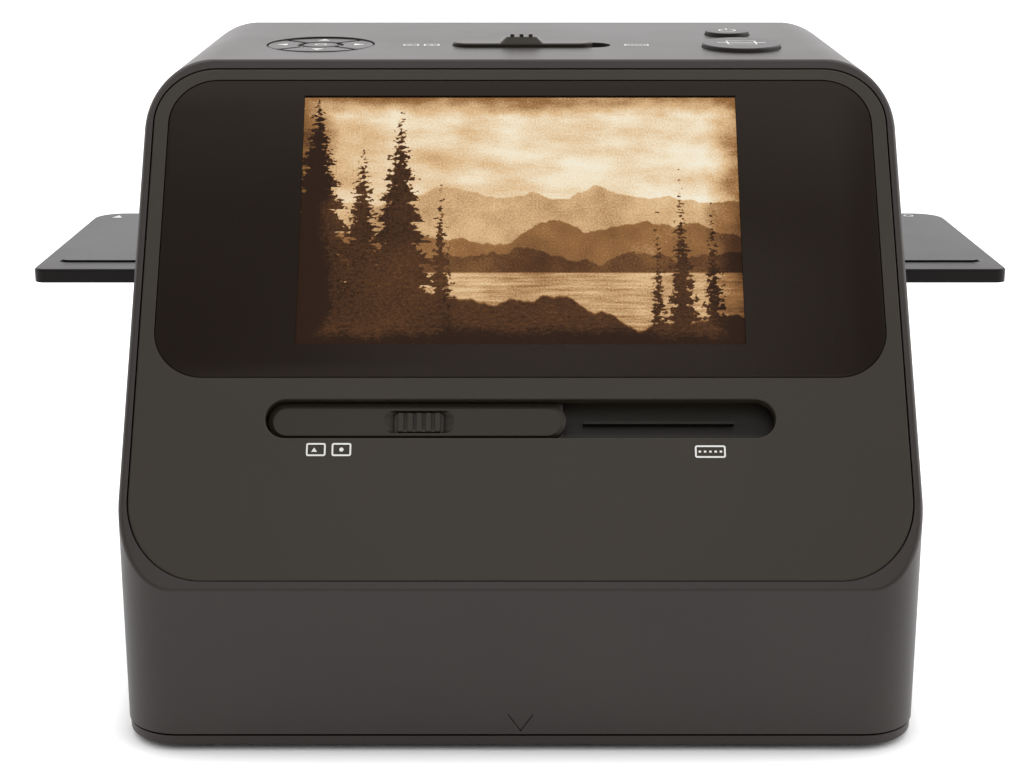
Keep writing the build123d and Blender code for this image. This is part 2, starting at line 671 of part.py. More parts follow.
# ---- chassis, rails and film guides ----
def make_chassis():
    plate = block(-inner_x, inner_x, chassis_front, chassis_rear, chassis_low, chassis_high)
    plate -= block(-60, 60, axis_y - 25, axis_y + 25, 70, 90)
    arm_low, arm_high = light_park_x - arm_half, light_park_x + slider_travel + arm_half
    return plate - block(arm_low - 4, arm_high + 4, -50, -27, 70, 90)


def make_rail_brackets():
    pieces = []
    for x0, x1 in ((-80, -75), (24, 29)):
        for y in rod_places:
            foot = block(x0, x1, y - 4, y + 4, chassis_high, rod_z)
            pieces.append(foot + along_x(x0, x1, y, rod_z, 4) - along_x(x0 - 1, x1 + 1, y, rod_z, rod_radius + 0.02))
    return group(pieces)


def make_light_rails():
    return group([along_x(-80, 29, y, rod_z, rod_radius) for y in rod_places])


def make_film_guides():
    pieces = []
    lip = 3.4
    for back, side, half in ((holder_front, -1, inner_x), (holder_rear, 1, inner_x - 0.1)):
        y0, y1 = sorted((back + side * 0.4, back + side * 2.2))
        guide = block(-half, half, y0, y1, rail_low, rail_high)
        y0, y1 = sorted((back - side * lip, back + side * 0.4))
        guide += block(-half, half, y0, y1, rail_low, holder_bottom - holder_play)
        guide += block(-half, half, y0, y1, holder_top + holder_play, rail_high)
        y0, y1 = sorted((back - side * lip, back + side * 0.9))
        for x in (-84, 84):
            guide += block(x - 3, x + 3, y0, y1, chassis_high, rail_low)
        pieces.append(guide)
    return group(pieces)


def make_guide_springs():
    return group([block(x - 9, x + 9, holder_rear + 0.05, holder_rear + 0.4, 100.6, 103.4) for x in (-58, 0, 58)])


def make_slot_seals():
    pieces = []
    for side in (-1, 1):
        x0, x1 = sorted((side * (inner_x - 2), side * inner_x))
        pieces.append(block(x0, x1, -15.5, 55.5, lid_top + holder_play, lid_top + 1.9))
        pieces.append(block(x0, x1, -15.5, 55.5, holder_bottom - 2.3, holder_bottom - holder_play))
    return group(pieces)


# ---- lamps for prints ----
def make_lamp_brackets():
    bracket = block(inner_x - 6, inner_x, -20, 56, 50, 66)
    return group([bracket, mirror_x(bracket)])


def make_lamp_boards():
    x = inner_x - 6
    board = block(x - 1.2, x, -18, 54, 52, 64)
    for i in range(6):
        y = -12 + 12 * i
        board += block(x - 2.2, x - 1.2, y - 1.5, y + 1.5, 56.5, 59.5)
    return group([board, mirror_x(board)])


def make_lamp_diffusers():
    x = inner_x - 6
    cover = block(x - 5, x, -20, 56, 50, 66)
    cover = fillet(cover.faces().sort_by(Axis.X)[0].edges(), 1.5) - block(x - 4, x + 1, -19, 55, 51, 65)
    return group([cover, mirror_x(cover)])


# ---- film lamp that the slider moves under the film ----
def make_light_carriage():
    x0, x1 = light_park_x - block_half, light_park_x + block_half
    carriage = block(light_park_x - box_half, light_park_x + box_half, box_front, box_rear, box_low, box_high)
    inset = 1.5
    carriage -= block(
        light_park_x - box_half + inset + 1, light_park_x + box_half - inset - 1,
        box_front + inset + 1, box_rear - inset - 1, box_low + 1.2, 110,
    )
    carriage -= block(
        light_park_x - box_half + inset, light_park_x + box_half - inset,
        box_front + inset, box_rear - inset, box_high - 1.8, 110,
    )
    carriage += block(x0, x1, rod_places[0] - 5, rod_places[1] + 5, box_low - 1.5, box_low)
    for y in rod_places:
        carriage += block(x0, x1, y - 5, y + 5, 81, box_low)
    for y in rod_places:
        carriage -= along_x(x0 - 1, x1 + 1, y, rod_z, bush_radius)
    points = [at_slope(slot_middle + 3.2, flange_back + 0.8), at_slope(slot_middle + 3.2, 12.4), (-31.5, 70.2), (-31.5, 84.5)]
    points.append((rod_places[0] - 5, 84.5))
    arm = strip(points, 2.5, 3.0, light_park_x - arm_half, light_park_x + arm_half)
    keep = slab(face, Rectangle(400, 400), -200, -flange_back)
    return carriage + (arm & keep) - along_x(x0 - 1, x1 + 1, rod_places[0], rod_z, bush_radius)


def make_film_light_board():
    half = box_half - 2.6
    board = block(light_park_x - half, light_park_x + half, box_front + 2.6, box_rear - 2.6, box_low + 1.2, box_low + 2.4)
    for i in (-1, 0, 1):
        for j in (-1, 0, 1):
            x, y = light_park_x + 12 * i, axis_y + 11 * j
            board += block(x - 1.5, x + 1.5, y - 1.5, y + 1.5, box_low + 2.4, box_low + 3.4)
    return board


def make_film_diffuser():
    half = box_half - 1.6
    return block(
        light_park_x - half, light_park_x + half, box_front + 1.6, box_rear - 1.6, box_high - 1.8, box_high - 0.1
    )


def make_carriage_bushes():
    pieces = []
    for y in rod_places:
        for x0 in (light_park_x - block_half, light_park_x + block_half - 6):
            bush = along_x(x0, x0 + 6, y, rod_z, bush_radius - 0.02)
            pieces.append(bush - along_x(x0 - 1, x0 + 7, y, rod_z, rod_radius + 0.04))
    return group(pieces)


# ---- film holder ----
def holder_windows():
    windows = [Pos(slide_pitch * i, axis_y) * RectangleRounded(slide_window, slide_window, 1.5) for i in (-1, 0, 1)]
    return [extrude(Plane.XY.offset(90) * window, amount=20) for window in windows]


def lid_box(grow, z0, z1):
    half = holder_size[0] / 2 - lid_side_inset + grow
    return block(-half, half, holder_front + lid_front_inset - grow, holder_rear - lid_rear_inset + grow, z0, z1)


def make_holder_tray():
    tray = block(-holder_size[0] / 2, holder_size[0] / 2, holder_front, holder_rear, holder_bottom, holder_top)
    corners = tray.edges().filter_by(Axis.Z).sort_by(Axis.Y)
    tray = fillet(corners[:2], holder_front_corner)
    corners = tray.edges().filter_by(Axis.Z).sort_by(Axis.Y)
    tray = fillet(corners[-2:], holder_rear_corner)
    tray = fillet(tray.faces().sort_by(Axis.Z)[-1].edges(), holder_edge_round)
    tray -= lid_box(0.25, lid_top - lid_thickness - 0.15, 120)
    for i in (-1, 0, 1):
        bay = RectangleRounded(slide_bay, slide_bay, 1)
        tray -= Pos(slide_pitch * i, axis_y, holder_bottom + holder_floor) * extrude(bay, amount=10)
    for window in holder_windows():
        tray -= window
    for side in (-1, 1):
        x = side * (holder_size[0] / 2 - lid_side_inset)
        tray -= along_x(min(x, x + side * 2.5), max(x, x + side * 2.5), hinge_y, hinge_z, hinge_radius + 0.02)
    return tray


def make_holder_lid():
    lid = lid_box(0, lid_top - lid_thickness, lid_top)
    lid = fillet(lid.edges().filter_by(Axis.Z), lid_corner)
    for window in holder_windows():
        lid -= window
    half = holder_size[0] / 2 - lid_side_inset
    lid -= along_x(-half - 1, -half + 6.2, hinge_y, hinge_z, hinge_radius + 0.05)
    lid -= along_x(half - 6.2, half + 1, hinge_y, hinge_z, hinge_radius + 0.05)
    # finger scoop to lift the lid
    return lid - Pos(0, holder_front + lid_front_inset - 2, lid_top + 1.2) * Cylinder(6, 3)


def make_holder_hinge_pins():
    x = holder_size[0] / 2 - lid_side_inset
    return group([along_x(x0, x1, hinge_y, hinge_z, hinge_radius) for x0, x1 in ((-x - 2.2, -x + 6), (x - 6, x + 2.2))])


# ---- base ----
def plan_outline(inset):
    return RectangleRounded(body_width - 2 * inset, body_depth - 2 * inset, plan_corner_radius - inset)


def make_base_plate():
    plate = extrude(Plane.XY.offset(foot_height) * plan_outline(0.3), amount=base_plate_height)
    plate = fillet(plate.faces().sort_by(Axis.Z)[0].edges(), 0.8)
    low = foot_height + base_plate_height
    plate += extrude(Plane.XY.offset(low) * plan_outline(wall + 0.8), amount=base_high - low)
    plate -= block(-tray_x - 0.2, tray_x + 0.2, tray_front - 0.2, tray_rear + 0.2, tray_low, 20)
    for x, y in peg_places:
        plate -= upright(x, y, tray_low, 20, peg_radius + 0.02)
    for x, y in foot_places:
        plate -= upright(x, y, 0, foot_height + 1, 6.1)
    return plate


def make_print_tray():
    tray = block(-tray_x, tray_x, tray_front, tray_rear, tray_low, base_high)
    tray -= block(-print_size[0] / 2, print_size[0] / 2, axis_y - print_size[1] / 2, axis_y + print_size[1] / 2, print_floor, 20)
    for side in (-1, 1):
        tray -= upright(side * 76, axis_y, print_floor - 0.8, 20, 9) & block(-tray_x + 1, tray_x - 1, -50, 80, 0, 20)
    return tray


def make_print_mat():
    half_x, half_y = print_size[0] / 2 - 0.3, print_size[1] / 2 - 0.3
    mat = block(-half_x, half_x, axis_y - half_y, axis_y + half_y, print_floor, print_floor + 0.6)
    for side in (-1, 1):
        mat -= upright(side * 76, axis_y, 0, 20, 9.3)
    return mat


def make_locating_pegs():
    pieces = []
    for x, y in peg_places:
        pieces.append(upright(x, y, tray_low, 13, peg_radius) + Pos(x, y, 14) * Cone(peg_radius, 1.4, 2))
    return group(pieces)


def make_base_feet():
    pieces = []
    for x, y in foot_places:
        foot = upright(x, y, 0, foot_height + 1, 6)
        pieces.append(fillet(foot.edges().sort_by(Axis.Z)[0], 0.3))
    return group(pieces)


parts = {
    "base_plate": make_base_plate(),
    "base_feet": make_base_feet(),
    "locating_pegs": make_locating_pegs(),
    "print_tray": make_print_tray(),
    "print_mat": make_print_mat(),
    "main_housing": make_main_housing(),
    "rear_cover": make_rear_cover(),
    "cover_screws": make_cover_screws(),
    "front_bezel": make_front_bezel(),
    "display_window": make_display_window(),
    "display_gasket": make_display_gasket(),
    "display_panel": make_display_panel(),
    "display_frame": make_display_frame(),
    "display_cable": make_display_cable(),
    "slider_track": make_slider_track(),
    "front_slider": make_front_slider(),
    "light_carriage": make_light_carriage(),
    "carriage_bushes": make_carriage_bushes(),
    "film_light_board": make_film_light_board(),
    "film_diffuser": make_film_diffuser(),
    "chassis": make_chassis(),
    "light_rails": make_light_rails(),
    "rail_brackets": make_rail_brackets(),
    "film_guides": make_film_guides(),
    "guide_springs": make_guide_springs(),
    "slot_seals": make_slot_seals(),
    "lamp_brackets": make_lamp_brackets(),
    "lamp_boards": make_lamp_boards(),
    "lamp_diffusers": make_lamp_diffusers(),
    "camera_bracket": make_camera_bracket(),
    "camera_board": make_camera_board(),
    "camera_sensor": make_camera_sensor(),
    "camera_screws": make_camera_screws(),
    "camera_cable": make_camera_cable(),
    "lens_holder": make_lens_holder(),
    "lens_barrel": make_lens_barrel(),
    "lens_glass": make_lens_glass(),
    "light_hood": make_light_hood(),
    "key_board": make_key_board(),
    "key_board_screws": make_key_board_screws(),
    "key_switches": make_key_switches(),
    "key_cable": make_key_cable(),
    "mode_switch": make_mode_switch(),
    "mode_knob": make_mode_knob(),
    "nav_right": make_nav_key(0),
    "nav_up": make_nav_key(90),
    "nav_left": make_nav_key(180),
    "nav_down": make_nav_key(270),
    "nav_centre": make_round_key(nav_x, nav_t, nav_centre_radius, 1.0, 0),
    "power_button": make_round_key(power_x, power_t, power_radius, 1.3, button_proud),
    "scan_button": make_round_key(scan_x, scan_t, scan_radius, 1.2, button_proud),
    "main_board": make_main_board(),
    "board_screws": make_board_screws(),
    "usb_socket": make_socket("usb_socket"),
    "hdmi_socket": make_socket("hdmi_socket"),
    "card_socket": make_socket("card_socket"),
    "holder_tray": make_holder_tray(),
    "holder_lid": make_holder_lid(),
    "holder_hinge_pins": make_holder_hinge_pins(),
}

os.makedirs("parts", exist_ok=True)
for name, piece in parts.items():
    export_step(piece, f"parts/{name}.step")
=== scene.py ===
import bpy
import json
from math import cos, sin, radians, pi
from mathutils import Matrix, Vector


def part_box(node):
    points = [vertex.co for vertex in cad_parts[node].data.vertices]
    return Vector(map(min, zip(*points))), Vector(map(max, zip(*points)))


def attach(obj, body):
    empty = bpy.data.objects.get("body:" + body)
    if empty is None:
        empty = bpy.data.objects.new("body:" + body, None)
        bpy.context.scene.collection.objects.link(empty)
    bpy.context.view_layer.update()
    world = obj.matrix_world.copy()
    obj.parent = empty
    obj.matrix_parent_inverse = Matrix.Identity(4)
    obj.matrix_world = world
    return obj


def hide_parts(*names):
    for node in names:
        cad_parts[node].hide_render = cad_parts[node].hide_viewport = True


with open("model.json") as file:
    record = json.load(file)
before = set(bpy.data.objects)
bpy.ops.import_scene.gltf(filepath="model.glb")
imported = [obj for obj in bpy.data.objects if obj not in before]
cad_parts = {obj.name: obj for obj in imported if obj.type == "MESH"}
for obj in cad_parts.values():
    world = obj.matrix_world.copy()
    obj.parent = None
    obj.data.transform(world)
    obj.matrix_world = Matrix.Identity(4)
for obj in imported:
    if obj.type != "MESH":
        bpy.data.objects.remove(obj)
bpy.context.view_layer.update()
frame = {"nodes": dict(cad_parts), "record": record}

nodes = frame["nodes"]
print("frame loaded,", len(nodes), "nodes")

# places on the body, in metres
body = {
    "lean": radians(34.6),        # the sloping face leans back this far
    "rise": radians(3.2),         # the top climbs towards the rear
    "slopeLength": 0.1368,
    "slopeFoot": Vector((0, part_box("main_housing")[0].y, 0.0404)),   # middle of the slope's lower edge
}
slopeUp = Vector((0, sin(body["lean"]), cos(body["lean"])))
slopeOut = Vector((0, -cos(body["lean"]), sin(body["lean"])))
topFront = body["slopeFoot"] + slopeUp * body["slopeLength"]
topBack = Vector((0, cos(body["rise"]), sin(body["rise"])))
topOut = Vector((0, -sin(body["rise"]), cos(body["rise"])))


def planeMatrix(origin, up, out):
    # local X stays X, local Y runs along up, local Z stands out of the surface
    m = Matrix.Identity(4)
    m.col[0] = (1, 0, 0, 0)
    m.col[1] = (*up, 0)
    m.col[2] = (*out, 0)
    m.col[3] = (*origin, 1)
    return m


slopeMatrix = planeMatrix(body["slopeFoot"], slopeUp, slopeOut)
topMatrix = planeMatrix(topFront, topBack, topOut)

shot = {
    "place": (-0.0020, -0.4784, 0.1988),
    "down": radians(15.4),        # looks down this much
    "focal": 66.27,               # millimetres, as is the sensor
    "sensor": 36,
}
cameraData = bpy.data.cameras.new("shotCamera")
cameraData.lens = shot["focal"]
cameraData.sensor_width = shot["sensor"]
camera = bpy.data.objects.new("shotCamera", cameraData)
bpy.context.scene.collection.objects.link(camera)
camera.location = shot["place"]
camera.rotation_euler = (pi / 2 - shot["down"], 0, 0)
bpy.context.scene.camera = camera
bpy.context.scene.view_settings.view_transform = "Standard"


def makeMaterial(name):
    # a new material with its nodes, its links and its main shader
    mat = bpy.data.materials.new(name)
    mat.use_nodes = True
    tree = mat.node_tree
    return mat, tree.nodes, tree.links, tree.nodes["Principled BSDF"]


def arithmetic(tree, kind, a, b=None, c=None, clamp=False):
    # one Math node; each of a, b and c is a number or another node's output
    node = tree.nodes.new("ShaderNodeMath")
    node.operation = kind
    node.use_clamp = clamp
    for slot, value in zip(node.inputs, (a, b, c)):
        if value is None:
            continue
        if isinstance(value, (int, float)):
            slot.default_value = value
        else:
            tree.links.new(value, slot)
    return node.outputs[0]


def addFloor():
    floor = {
        "size": 12,
        "color": (0.86, 0.86, 0.86, 1),
        "roughness": 0.9,
        "specular": 0.1,
        "glow": 0.35,
        "foot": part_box("base_plate")[1],   # rear right corner of the base plate
        "corner": 0.0135,                  # its corner radius
        "paintedShadowFade": 0.0075,                    # the glow is whole this far from the base plate; nearer, it fades out as a painted contact shadow
    }
    bpy.ops.object.select_all(action="DESELECT")
    bpy.ops.mesh.primitive_plane_add(size=floor["size"], location=(0, 0, 0))
    plane = bpy.context.object
    plane.name = "studioFloor"
    mat, n, l, bsdf = makeMaterial("floorPaper")
    bsdf.inputs["Base Color"].default_value = floor["color"]
    bsdf.inputs["Roughness"].default_value = floor["roughness"]
    bsdf.inputs["Specular IOR Level"].default_value = floor["specular"]
    # the paper glows, and less so the nearer it lies to the foot of the body: a painted contact shadow
    # around the base plate, not cast by the lamps
    coord = n.new("ShaderNodeTexCoord")
    split = n.new("ShaderNodeSeparateXYZ")
    l.new(coord.outputs["Object"], split.inputs[0])
    tree = mat.node_tree
    squares = []
    for axis, half in (("X", floor["foot"].x), ("Y", floor["foot"].y)):
        away = arithmetic(tree, "ABSOLUTE", split.outputs[axis])
        away = arithmetic(tree, "SUBTRACT", away, half - floor["corner"])
        away = arithmetic(tree, "MAXIMUM", away, 0.0)
        squares.append(arithmetic(tree, "MULTIPLY", away, away))
    away = arithmetic(tree, "SQRT", arithmetic(tree, "ADD", *squares))
    away = arithmetic(tree, "SUBTRACT", away, floor["corner"])
    paintedShadowFade = arithmetic(tree, "DIVIDE", away, floor["paintedShadowFade"], clamp=True)
    l.new(arithmetic(tree, "MULTIPLY", paintedShadowFade, floor["glow"]), bsdf.inputs["Emission Strength"])
    bsdf.inputs["Emission Color"].default_value = (1, 1, 1, 1)
    plane.data.materials.append(mat)


def addLights():
    sky = {
        "color": (1, 0.988, 0.992, 1),
        "front": 0.42,            # strength behind the camera
        "back": 1.8,              # strength behind the body
        "turn": (-0.6, 0.5),      # the sky changes between these headings, -1 being the front
    }
    # name, place, width, power, the point it is aimed at
    lamps = (
        ("softTop", (0.0, 0.1, 1.3), 1.4, 6.0, (0, 0, 0.05)),
        ("softFront", (0.0, -1.3, 1.2), 0.9, 5.0, (0, 0, 0.08)),
        ("softLeft", (-1.2, 0.0, 0.5), 0.9, 1.4, (0, 0, 0.08)),
        ("softRight", (1.2, 0.0, 0.5), 0.9, 6.2, (0, 0, 0.08)),
    )
    world = bpy.data.worlds.new("studioWorld")
    bpy.context.scene.world = world
    world.use_nodes = True
    n, l = world.node_tree.nodes, world.node_tree.links
    coord = n.new("ShaderNodeTexCoord")
    split = n.new("ShaderNodeSeparateXYZ")
    ramp = n.new("ShaderNodeMapRange")
    ramp.inputs["From Min"].default_value = sky["turn"][0]
    ramp.inputs["From Max"].default_value = sky["turn"][1]
    ramp.inputs["To Min"].default_value = sky["front"]
    ramp.inputs["To Max"].default_value = sky["back"]
    l.new(coord.outputs["Generated"], split.inputs[0])
    l.new(split.outputs["Y"], ramp.inputs["Value"])
    l.new(ramp.outputs[0], n["Background"].inputs["Strength"])
    n["Background"].inputs["Color"].default_value = sky["color"]
    for name, place, width, power, target in lamps:
        data = bpy.data.lights.new(name, "AREA")
        data.shape = "SQUARE"
        data.size = width
        data.energy = power
        lamp = bpy.data.objects.new(name, data)
        bpy.context.scene.collection.objects.link(lamp)
        lamp.location = place
        lamp.rotation_euler = (Vector(place) - Vector(target)).to_track_quat("Z", "Y").to_euler()


addFloor()
addLights()
print("camera, floor and lights placed")


# what a plastic has unless its own look says otherwise; each scale is per metre
plastic = {
    "driftScale": 35,             # slow drift of colour and roughness
    "drift": 0.10,
    "roughnessDrift": 0.05,
    "dust": 0.12,                 # how far the specks of dust lighten it
    "dustScale": 1400,
    "dustEdge": (0.80, 0.86),
    "dustColor": (0.2, 0.19, 0.18, 1),
    "grain": 0.06,
    "grainScale": 2600,
    "grainDepth": 0.0001,
    "specular": 0.5,
    "sheen": (1, 1, 1),           # tint of the highlights
}


def grainedPlastic(name, look):
    # moulded plastic: spark-eroded grain, slow colour drift, a few pale specks of dust
    look = {**plastic, **look}
    mat, n, l, bsdf = makeMaterial(name)
    coord = n.new("ShaderNodeTexCoord")
    drift = n.new("ShaderNodeTexNoise")
    drift.inputs["Scale"].default_value = look["driftScale"]
    drift.inputs["Detail"].default_value = 3
    l.new(coord.outputs["Object"], drift.inputs["Vector"])
    color = n.new("ShaderNodeValToRGB")
    darker, paler = color.color_ramp.elements
    darker.position = 0.3
    darker.color = (*[c * (1 - look["drift"]) for c in look["color"]], 1)
    paler.position = 0.7
    paler.color = (*[c * (1 + look["drift"]) for c in look["color"]], 1)
    l.new(drift.outputs["Fac"], color.inputs["Fac"])
    if look["dust"]:
        dust = n.new("ShaderNodeTexNoise")
        dust.inputs["Scale"].default_value = look["dustScale"]
        dust.inputs["Detail"].default_value = 1
        l.new(coord.outputs["Object"], dust.inputs["Vector"])
        dustMask = n.new("ShaderNodeMapRange")
        dustMask.inputs["From Min"].default_value = look["dustEdge"][0]
        dustMask.inputs["From Max"].default_value = look["dustEdge"][1]
        dustMask.inputs["To Max"].default_value = look["dust"]
        l.new(dust.outputs["Fac"], dustMask.inputs["Value"])
        mix = n.new("ShaderNodeMix")
        mix.data_type = "RGBA"
        mix.inputs["B"].default_value = look["dustColor"]
        l.new(dustMask.outputs[0], mix.inputs["Factor"])
        l.new(color.outputs["Color"], mix.inputs["A"])
        l.new(mix.outputs["Result"], bsdf.inputs["Base Color"])
    else:
        l.new(color.outputs["Color"], bsdf.inputs["Base Color"])
    rough = n.new("ShaderNodeMapRange")
    rough.inputs["To Min"].default_value = look["roughness"] - look["roughnessDrift"]
    rough.inputs["To Max"].default_value = look["roughness"] + look["roughnessDrift"]
    l.new(drift.outputs["Fac"], rough.inputs["Value"])
    l.new(rough.outputs[0], bsdf.inputs["Roughness"])
    grain = n.new("ShaderNodeTexNoise")
    grain.inputs["Scale"].default_value = look["grainScale"]
    grain.inputs["Detail"].default_value = 2
    l.new(coord.outputs["Object"], grain.inputs["Vector"])
    bump = n.new("ShaderNodeBump")
    bump.inputs["Strength"].default_value = look["grain"]
    bump.inputs["Distance"].default_value = look["grainDepth"]
    l.new(grain.outputs["Fac"], bump.inputs["Height"])
    l.new(bump.outputs["Normal"], bsdf.inputs["Normal"])
    bsdf.inputs["Specular IOR Level"].default_value = look["specular"]
    bsdf.inputs["Specular Tint"].default_value = (*look["sheen"], 1)
    return mat


def brushedMetal(name, look):
    # metal drawn along X: fine lines that change its shade and its roughness
    brush = {"stretch": (40, 900, 900), "shade": 0.8, "smoother": 0.06, "rougher": 0.1}
    mat, n, l, bsdf = makeMaterial(name)
    coord = n.new("ShaderNodeTexCoord")
    stretch = n.new("ShaderNodeMapping")
    stretch.inputs["Scale"].default_value = brush["stretch"]
    l.new(coord.outputs["Object"], stretch.inputs["Vector"])
    lines = n.new("ShaderNodeTexNoise")
    lines.inputs["Scale"].default_value = 1
    lines.inputs["Detail"].default_value = 4
    l.new(stretch.outputs[0], lines.inputs["Vector"])
    color = n.new("ShaderNodeValToRGB")
    darker, paler = color.color_ramp.elements
    darker.color = (*[c * brush["shade"] for c in look["color"]], 1)
    paler.color = (*look["color"], 1)
    l.new(lines.outputs["Fac"], color.inputs["Fac"])
    l.new(color.outputs["Color"], bsdf.inputs["Base Color"])
    rough = n.new("ShaderNodeMapRange")
    rough.inputs["To Min"].default_value = look["roughness"] - brush["smoother"]
    rough.inputs["To Max"].default_value = look["roughness"] + brush["rougher"]
    l.new(lines.outputs["Fac"], rough.inputs["Value"])
    l.new(rough.outputs[0], bsdf.inputs["Roughness"])
    bsdf.inputs["Metallic"].default_value = 1
    return mat


def milkyPlastic(name, look):
    # plastic that lets light spread inside it
    mat = grainedPlastic(name, look)
    bsdf = mat.node_tree.nodes["Principled BSDF"]
    bsdf.inputs["Subsurface Weight"].default_value = look["milk"]
    bsdf.inputs["Subsurface Radius"].default_value = (look["spread"],) * 3
    return mat


def boardFinish(name, look):
    # green board: solder mask with faint tracks and pale pads
    mat, n, l, bsdf = makeMaterial(name)
    coord = n.new("ShaderNodeTexCoord")
    tracks = n.new("ShaderNodeTexVoronoi")
    tracks.distance = "MANHATTAN"
    tracks.inputs["Scale"].default_value = look["trackScale"]
    l.new(coord.outputs["Object"], tracks.inputs["Vector"])
    shade = n.new("ShaderNodeValToRGB")
    pad, mask = shade.color_ramp.elements
    pad.position, mask.position = look["padEdge"]
    pad.color = (*look["pad"], 1)
    mask.color = (*look["color"], 1)
    l.new(tracks.outputs["Distance"], shade.inputs["Fac"])
    l.new(shade.outputs["Color"], bsdf.inputs["Base Color"])
    bsdf.inputs["Roughness"].default_value = look["roughness"]
    return mat


# one finish for each material slot of the CAD nodes
finishes = {
    "charcoal_shell": grainedPlastic("charcoalShell", {
        "color": (0.021, 0.0165, 0.0135), "roughness": 0.42, "specular": 0.31, "sheen": (0.98, 0.96, 1.0),
    }),
    "charcoal_panel": grainedPlastic("charcoalPanel", {
        "color": (0.0158, 0.0122, 0.0080), "roughness": 0.46, "specular": 0.34, "sheen": (1.0, 0.95, 0.88),
    }),
    "slider_plastic": grainedPlastic("sliderPlastic", {
        "color": (0.0115, 0.0090, 0.0062), "roughness": 0.40, "specular": 0.30, "sheen": (1.0, 0.95, 0.88),
    }),
    "key_plastic": grainedPlastic("keyPlastic", {
        "color": (0.024, 0.0205, 0.0185), "roughness": 0.44, "specular": 0.31, "sheen": (0.98, 0.96, 1.0),
    }),
    "black_plastic": grainedPlastic("blackPlastic", {
        "color": (0.010, 0.009, 0.008), "roughness": 0.5, "grain": 0.2,
    }),
    "bush_plastic": grainedPlastic("bushPlastic", {"color": (0.55, 0.54, 0.5), "roughness": 0.3, "dust": 0}),
    "holder_plastic": grainedPlastic("holderPlastic", {
        "color": (0.0040, 0.0030, 0.0020), "roughness": 0.38, "specular": 0.13, "sheen": (0.98, 0.94, 1.0),
    }),
    "rubber_foot": grainedPlastic("rubberFoot", {
        "color": (0.02, 0.02, 0.02), "roughness": 0.8, "grain": 0.5,
    }),
    "black_foam": grainedPlastic("blackFoam", {
        "color": (0.012, 0.012, 0.012), "roughness": 0.95, "grain": 0.9, "specular": 0.1,
    }),
    "ribbon": grainedPlastic("ribbonFilm", {"color": (0.7, 0.68, 0.6), "roughness": 0.35, "dust": 0}),
    "diffuser": milkyPlastic("milkyDiffuser", {
        "color": (0.85, 0.85, 0.82), "roughness": 0.4, "dust": 0, "milk": 0.3, "spread": 0.002,
    }),
    "sensor": grainedPlastic("sensorFace", {"color": (0.02, 0.02, 0.035), "roughness": 0.12, "dust": 0}),
    "lens_metal": brushedMetal("lensMetal", {"color": (0.06, 0.06, 0.06), "roughness": 0.4}),
    "chassis_steel": grainedPlastic("chassisPaint", {
        "color": (0.03, 0.03, 0.03), "roughness": 0.5, "grain": 0.4,
    }),
    "rail_steel": brushedMetal("railSteel", {"color": (0.6, 0.6, 0.6), "roughness": 0.25}),
    "screw_steel": brushedMetal("screwSteel", {"color": (0.12, 0.12, 0.125), "roughness": 0.4}),
    "socket_steel": brushedMetal("socketSteel", {"color": (0.55, 0.54, 0.52), "roughness": 0.3}),
    "circuit_board": boardFinish("circuitBoard", {
        "color": (0.01, 0.09, 0.03), "pad": (0.5, 0.42, 0.2), "padEdge": (0.05, 0.12),
        "trackScale": 500, "roughness": 0.35,
    }),
}
trackPlastic = grainedPlastic("trackPlastic", {
    "color": (0.017, 0.014, 0.0095), "roughness": 0.5, "specular": 0.25,
})
printWhite = grainedPlastic("printWhite", {
    "color": (0.62, 0.62, 0.60), "roughness": 0.6, "drift": 0.06, "dust": 0,
})
print(len(finishes), "finishes mixed")


def onSlope(tree):
    # vector socket of metres across (x) and up (y) the sloping face
    n, l = tree.nodes, tree.links
    coord = n.new("ShaderNodeTexCoord")
    lay = n.new("ShaderNodeMapping")
    lay.vector_type = "TEXTURE"
    lay.inputs["Location"].default_value = slopeMatrix.to_translation()
    lay.inputs["Rotation"].default_value = slopeMatrix.to_euler()
    l.new(coord.outputs["Object"], lay.inputs["Vector"])
    return lay.outputs[0]


display = {
    "middle": 0.0933,              # up the slope
    "half": (0.054, 0.0333),       # half the lit picture
    "spare": 0.0015,               # the lit area runs this far behind the black border
    "black": (0.004, 0.004, 0.004, 1),
    "glow": 1.1,
    "roughness": 0.4,
    "specular": 0.05,
}
window = {
    "ghost": 0.10,                 # how much of the black glass lies over the lit picture
    "color": (0.0085, 0.0055, 0.0040, 1),
    "roughness": (0.24, 0.32),
    "smearScale": 60,              # wiped smears that change the roughness
    "specular": 0.16,
    "sheen": (1.0, 0.86, 0.74, 1),
    "ior": 1.45,
}


def insidePicture(tree, place, spare=0.0):
    # 1 over the lit picture, 0 on the black border; spare widens the picture all round
    split = tree.nodes.new("ShaderNodeSeparateXYZ")
    tree.links.new(place, split.inputs[0])
    across = arithmetic(tree, "ABSOLUTE", split.outputs["X"])
    up = arithmetic(tree, "ABSOLUTE", arithmetic(tree, "SUBTRACT", split.outputs["Y"], display["middle"]))
    inX = arithmetic(tree, "LESS_THAN", across, display["half"][0] + spare)
    inY = arithmetic(tree, "LESS_THAN", up, display["half"][1] + spare)
    return arithmetic(tree, "MULTIPLY", inX, inY)


